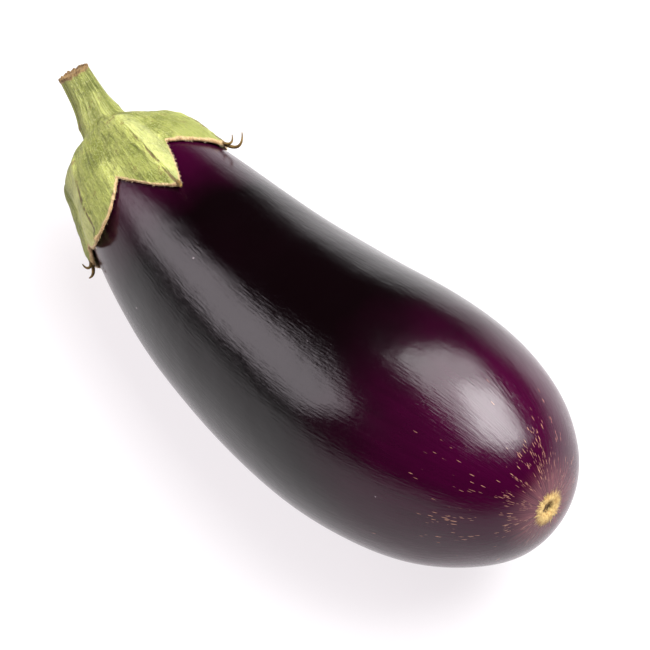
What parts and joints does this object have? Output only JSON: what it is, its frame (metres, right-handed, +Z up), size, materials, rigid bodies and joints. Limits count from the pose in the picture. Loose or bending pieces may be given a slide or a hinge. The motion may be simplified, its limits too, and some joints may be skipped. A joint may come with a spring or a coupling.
{
  "type": "eggplant",
  "caption": "Whole picked eggplant of the globe type lying on its side, dark purple fruit with a green star-edged calyx and a short cut stem.",
  "frame": {"origin": "middle of the small flat on the belly that the fruit rests on", "axes": "+X along the fruit towards the blossom end, +Z up from the surface it lies on"},
  "size_m": [0.2326, 0.0844, 0.0841],
  "materials": {
    "fruit": "glossy waxy skin",
    "calyx": "matte, slightly fuzzy",
    "stem": "matte, ribbed"
  },
  "bodies": {
    "root": {"fruit": "fruit", "calyx": "calyx", "stem": "stem"}
  },
  "joints": []
}
